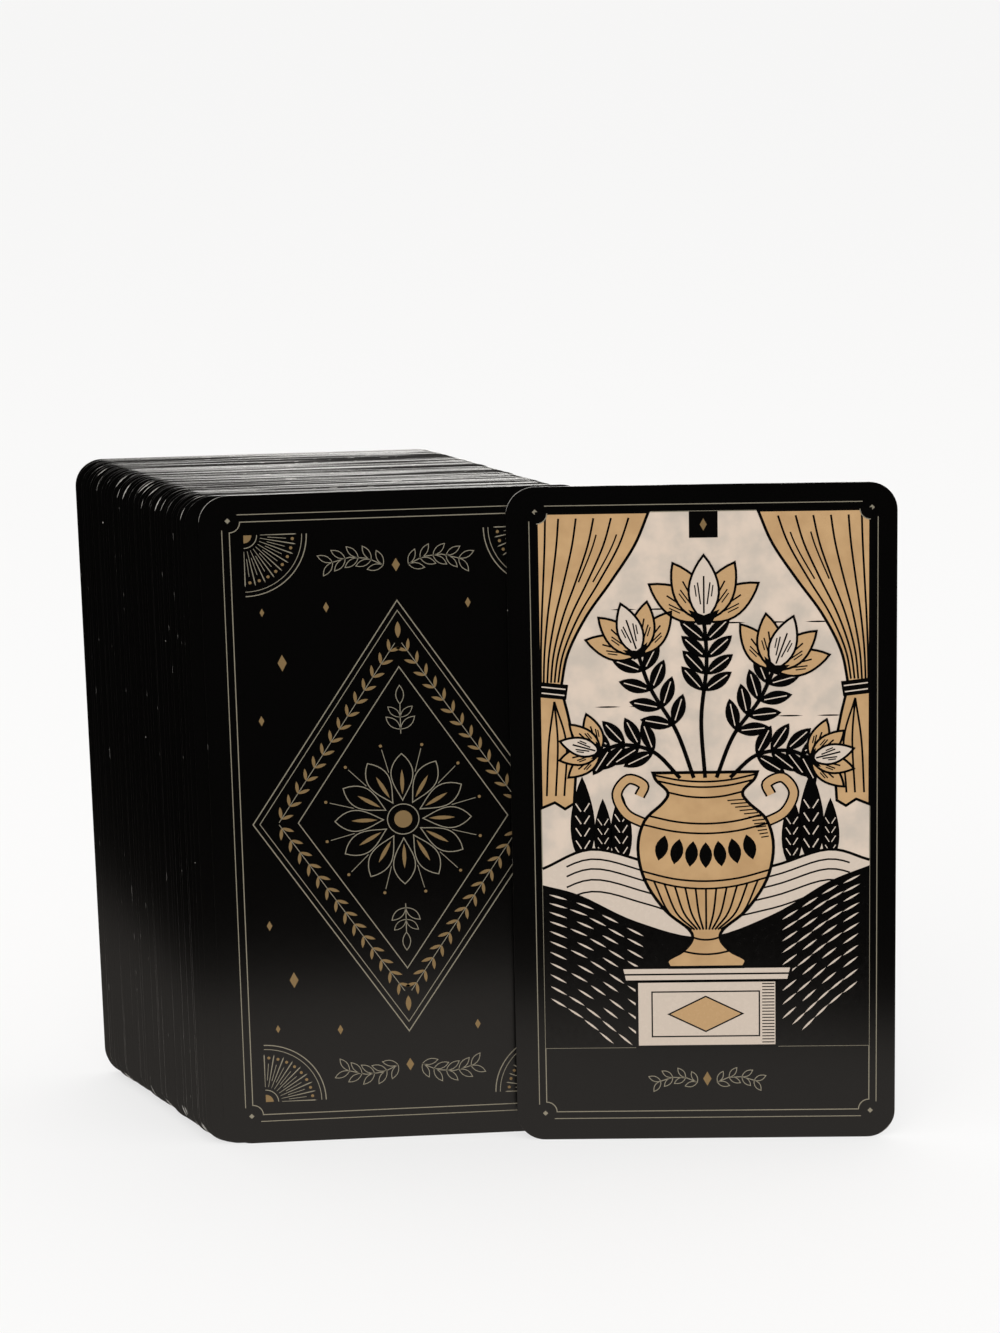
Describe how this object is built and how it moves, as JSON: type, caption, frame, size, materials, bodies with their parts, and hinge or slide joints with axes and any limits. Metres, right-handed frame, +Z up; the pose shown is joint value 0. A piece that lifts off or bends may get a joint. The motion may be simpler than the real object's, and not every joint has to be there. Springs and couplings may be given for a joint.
{
  "type": "tarot card deck",
  "caption": "Deck of black tarot cards with gold linework, standing skewed on its short edges, with one card leaning face out on the front; cards draw up and the leaning card tips over.",
  "frame": {"origin": "on the table, under the middle of the box round the deck and the leaning card", "axes": "+X to the right along the cards' faces, +Y away from the viewer through the deck, +Z up the cards"},
  "size_m": [0.1446, 0.0474, 0.12],
  "materials": {
    "black_card": "black printed board with a smooth satin coating and fine gold lines",
    "picture_card": "black printed board with a cream, tan and black picture under a satin coating",
    "gold_foil": "thin stamped gold foil, satin"
  },
  "bodies": {
    "cards_76_77": {"cards_76_77": "black_card"},
    "leaning_card": {"leaning_card": "picture_card"},
    "card_01": {"card_01": "black_card"},
    "card_02": {"card_02": "black_card"},
    "card_03": {"card_03": "black_card"},
    "card_04": {"card_04": "black_card"},
    "card_05": {"card_05": "black_card"},
    "card_06": {"card_06": "black_card"},
    "card_07": {"card_07": "black_card"},
    "card_08": {"card_08": "black_card"},
    "card_09": {"card_09": "black_card"},
    "card_10": {"card_10": "black_card"},
    "card_11": {"card_11": "black_card"},
    "card_12": {"card_12": "black_card"},
    "card_13": {"card_13": "black_card"},
    "card_14": {"card_14": "black_card"},
    "card_15": {"card_15": "black_card"},
    "card_16": {"card_16": "black_card"},
    "card_17": {"card_17": "black_card"},
    "card_18": {"card_18": "black_card"},
    "card_19": {"card_19": "black_card"},
    "card_20": {"card_20": "black_card"},
    "card_21": {"card_21": "black_card"},
    "card_22": {"card_22": "black_card"},
    "card_23": {"card_23": "black_card"},
    "card_24": {"card_24": "black_card"},
    "card_25": {"card_25": "black_card"},
    "card_26": {"card_26": "black_card"},
    "card_27": {"card_27": "black_card"},
    "card_28": {"card_28": "black_card"},
    "card_29": {"card_29": "black_card"},
    "card_30": {"card_30": "black_card"},
    "card_31": {"card_31": "black_card"},
    "card_32": {"card_32": "black_card"},
    "card_33": {"card_33": "black_card"},
    "card_34": {"card_34": "black_card"},
    "card_35": {"card_35": "black_card"},
    "card_36": {"card_36": "black_card"},
    "card_37": {"card_37": "black_card"},
    "card_38": {"card_38": "black_card"},
    "card_39": {"card_39": "black_card"},
    "card_40": {"card_40": "black_card"},
    "card_41": {"card_41": "black_card"},
    "cards_42_43": {"cards_42_43": "black_card"},
    "cards_44_45": {"cards_44_45": "black_card"},
    "cards_46_47": {"cards_46_47": "black_card"},
    "cards_48_49": {"cards_48_49": "black_card"},
    "cards_50_51": {"cards_50_51": "black_card"},
    "cards_52_53": {"cards_52_53": "black_card"},
    "cards_54_55": {"cards_54_55": "black_card"},
    "cards_56_57": {"cards_56_57": "black_card"},
    "cards_58_59": {"cards_58_59": "black_card"},
    "cards_60_61": {"cards_60_61": "black_card"},
    "cards_62_63": {"cards_62_63": "black_card"},
    "cards_64_65": {"cards_64_65": "black_card"},
    "cards_66_67": {"cards_66_67": "black_card"},
    "cards_68_69": {"cards_68_69": "black_card"},
    "cards_70_71": {"cards_70_71": "black_card"},
    "cards_72_73": {"cards_72_73": "black_card"},
    "cards_74_75": {"cards_74_75": "black_card"}
  },
  "joints": [
    {"name": "tip_leaning_card", "type": "hinge", "parent": "cards_76_77", "child": "leaning_card", "pos_m": [0.03814, -0.02077, 0.00001], "axis": [0.996, -0.0889, 0], "range_deg": [0, 91.6]},
    {"name": "draw_card_01", "type": "slide", "parent": "cards_76_77", "child": "card_01", "axis": [0, 0, 1], "range_m": [0, 0.12]},
    {"name": "draw_card_02", "type": "slide", "parent": "cards_76_77", "child": "card_02", "axis": [0, 0, 1], "range_m": [0, 0.12]},
    {"name": "draw_card_03", "type": "slide", "parent": "cards_76_77", "child": "card_03", "axis": [0, 0, 1], "range_m": [0, 0.12]},
    {"name": "draw_card_04", "type": "slide", "parent": "cards_76_77", "child": "card_04", "axis": [0, 0, 1], "range_m": [0, 0.12]},
    {"name": "draw_card_05", "type": "slide", "parent": "cards_76_77", "child": "card_05", "axis": [0, 0, 1], "range_m": [0, 0.12]},
    {"name": "draw_card_06", "type": "slide", "parent": "cards_76_77", "child": "card_06", "axis": [0, 0, 1], "range_m": [0, 0.12]},
    {"name": "draw_card_07", "type": "slide", "parent": "cards_76_77", "child": "card_07", "axis": [0, 0, 1], "range_m": [0, 0.12]},
    {"name": "draw_card_08", "type": "slide", "parent": "cards_76_77", "child": "card_08", "axis": [0, 0, 1], "range_m": [0, 0.12]},
    {"name": "draw_card_09", "type": "slide", "parent": "cards_76_77", "child": "card_09", "axis": [0, 0, 1], "range_m": [0, 0.12]},
    {"name": "draw_card_10", "type": "slide", "parent": "cards_76_77", "child": "card_10", "axis": [0, 0, 1], "range_m": [0, 0.12]},
    {"name": "draw_card_11", "type": "slide", "parent": "cards_76_77", "child": "card_11", "axis": [0, 0, 1], "range_m": [0, 0.12]},
    {"name": "draw_card_12", "type": "slide", "parent": "cards_76_77", "child": "card_12", "axis": [0, 0, 1], "range_m": [0, 0.12]},
    {"name": "draw_card_13", "type": "slide", "parent": "cards_76_77", "child": "card_13", "axis": [0, 0, 1], "range_m": [0, 0.12]},
    {"name": "draw_card_14", "type": "slide", "parent": "cards_76_77", "child": "card_14", "axis": [0, 0, 1], "range_m": [0, 0.12]},
    {"name": "draw_card_15", "type": "slide", "parent": "cards_76_77", "child": "card_15", "axis": [0, 0, 1], "range_m": [0, 0.12]},
    {"name": "draw_card_16", "type": "slide", "parent": "cards_76_77", "child": "card_16", "axis": [0, 0, 1], "range_m": [0, 0.12]},
    {"name": "draw_card_17", "type": "slide", "parent": "cards_76_77", "child": "card_17", "axis": [0, 0, 1], "range_m": [0, 0.12]},
    {"name": "draw_card_18", "type": "slide", "parent": "cards_76_77", "child": "card_18", "axis": [0, 0, 1], "range_m": [0, 0.12]},
    {"name": "draw_card_19", "type": "slide", "parent": "cards_76_77", "child": "card_19", "axis": [0, 0, 1], "range_m": [0, 0.12]},
    {"name": "draw_card_20", "type": "slide", "parent": "cards_76_77", "child": "card_20", "axis": [0, 0, 1], "range_m": [0, 0.12]},
    {"name": "draw_card_21", "type": "slide", "parent": "cards_76_77", "child": "card_21", "axis": [0, 0, 1], "range_m": [0, 0.12]},
    {"name": "draw_card_22", "type": "slide", "parent": "cards_76_77", "child": "card_22", "axis": [0, 0, 1], "range_m": [0, 0.12]},
    {"name": "draw_card_23", "type": "slide", "parent": "cards_76_77", "child": "card_23", "axis": [0, 0, 1], "range_m": [0, 0.12]},
    {"name": "draw_card_24", "type": "slide", "parent": "cards_76_77", "child": "card_24", "axis": [0, 0, 1], "range_m": [0, 0.12]},
    {"name": "draw_card_25", "type": "slide", "parent": "cards_76_77", "child": "card_25", "axis": [0, 0, 1], "range_m": [0, 0.12]},
    {"name": "draw_card_26", "type": "slide", "parent": "cards_76_77", "child": "card_26", "axis": [0, 0, 1], "range_m": [0, 0.12]},
    {"name": "draw_card_27", "type": "slide", "parent": "cards_76_77", "child": "card_27", "axis": [0, 0, 1], "range_m": [0, 0.12]},
    {"name": "draw_card_28", "type": "slide", "parent": "cards_76_77", "child": "card_28", "axis": [0, 0, 1], "range_m": [0, 0.12]},
    {"name": "draw_card_29", "type": "slide", "parent": "cards_76_77", "child": "card_29", "axis": [0, 0, 1], "range_m": [0, 0.12]},
    {"name": "draw_card_30", "type": "slide", "parent": "cards_76_77", "child": "card_30", "axis": [0, 0, 1], "range_m": [0, 0.12]},
    {"name": "draw_card_31", "type": "slide", "parent": "cards_76_77", "child": "card_31", "axis": [0, 0, 1], "range_m": [0, 0.12]},
    {"name": "draw_card_32", "type": "slide", "parent": "cards_76_77", "child": "card_32", "axis": [0, 0, 1], "range_m": [0, 0.12]},
    {"name": "draw_card_33", "type": "slide", "parent": "cards_76_77", "child": "card_33", "axis": [0, 0, 1], "range_m": [0, 0.12]},
    {"name": "draw_card_34", "type": "slide", "parent": "cards_76_77", "child": "card_34", "axis": [0, 0, 1], "range_m": [0, 0.12]},
    {"name": "draw_card_35", "type": "slide", "parent": "cards_76_77", "child": "card_35", "axis": [0, 0, 1], "range_m": [0, 0.12]},
    {"name": "draw_card_36", "type": "slide", "parent": "cards_76_77", "child": "card_36", "axis": [0, 0, 1], "range_m": [0, 0.12]},
    {"name": "draw_card_37", "type": "slide", "parent": "cards_76_77", "child": "card_37", "axis": [0, 0, 1], "range_m": [0, 0.12]},
    {"name": "draw_card_38", "type": "slide", "parent": "cards_76_77", "child": "card_38", "axis": [0, 0, 1], "range_m": [0, 0.12]},
    {"name": "draw_card_39", "type": "slide", "parent": "cards_76_77", "child": "card_39", "axis": [0, 0, 1], "range_m": [0, 0.12]},
    {"name": "draw_card_40", "type": "slide", "parent": "cards_76_77", "child": "card_40", "axis": [0, 0, 1], "range_m": [0, 0.12]},
    {"name": "draw_card_41", "type": "slide", "parent": "cards_76_77", "child": "card_41", "axis": [0, 0, 1], "range_m": [0, 0.12]},
    {"name": "draw_cards_42_43", "type": "slide", "parent": "cards_76_77", "child": "cards_42_43", "axis": [0, 0, 1], "range_m": [0, 0.12]},
    {"name": "draw_cards_44_45", "type": "slide", "parent": "cards_76_77", "child": "cards_44_45", "axis": [0, 0, 1], "range_m": [0, 0.12]},
    {"name": "draw_cards_46_47", "type": "slide", "parent": "cards_76_77", "child": "cards_46_47", "axis": [0, 0, 1], "range_m": [0, 0.12]},
    {"name": "draw_cards_48_49", "type": "slide", "parent": "cards_76_77", "child": "cards_48_49", "axis": [0, 0, 1], "range_m": [0, 0.12]},
    {"name": "draw_cards_50_51", "type": "slide", "parent": "cards_76_77", "child": "cards_50_51", "axis": [0, 0, 1], "range_m": [0, 0.12]},
    {"name": "draw_cards_52_53", "type": "slide", "parent": "cards_76_77", "child": "cards_52_53", "axis": [0, 0, 1], "range_m": [0, 0.12]},
    {"name": "draw_cards_54_55", "type": "slide", "parent": "cards_76_77", "child": "cards_54_55", "axis": [0, 0, 1], "range_m": [0, 0.12]},
    {"name": "draw_cards_56_57", "type": "slide", "parent": "cards_76_77", "child": "cards_56_57", "axis": [0, 0, 1], "range_m": [0, 0.12]},
    {"name": "draw_cards_58_59", "type": "slide", "parent": "cards_76_77", "child": "cards_58_59", "axis": [0, 0, 1], "range_m": [0, 0.12]},
    {"name": "draw_cards_60_61", "type": "slide", "parent": "cards_76_77", "child": "cards_60_61", "axis": [0, 0, 1], "range_m": [0, 0.12]},
    {"name": "draw_cards_62_63", "type": "slide", "parent": "cards_76_77", "child": "cards_62_63", "axis": [0, 0, 1], "range_m": [0, 0.12]},
    {"name": "draw_cards_64_65", "type": "slide", "parent": "cards_76_77", "child": "cards_64_65", "axis": [0, 0, 1], "range_m": [0, 0.12]},
    {"name": "draw_cards_66_67", "type": "slide", "parent": "cards_76_77", "child": "cards_66_67", "axis": [0, 0, 1], "range_m": [0, 0.12]},
    {"name": "draw_cards_68_69", "type": "slide", "parent": "cards_76_77", "child": "cards_68_69", "axis": [0, 0, 1], "range_m": [0, 0.12]},
    {"name": "draw_cards_70_71", "type": "slide", "parent": "cards_76_77", "child": "cards_70_71", "axis": [0, 0, 1], "range_m": [0, 0.12]},
    {"name": "draw_cards_72_73", "type": "slide", "parent": "cards_76_77", "child": "cards_72_73", "axis": [0, 0, 1], "range_m": [0, 0.12]},
    {"name": "draw_cards_74_75", "type": "slide", "parent": "cards_76_77", "child": "cards_74_75", "axis": [0, 0, 1], "range_m": [0, 0.12]}
  ]
}
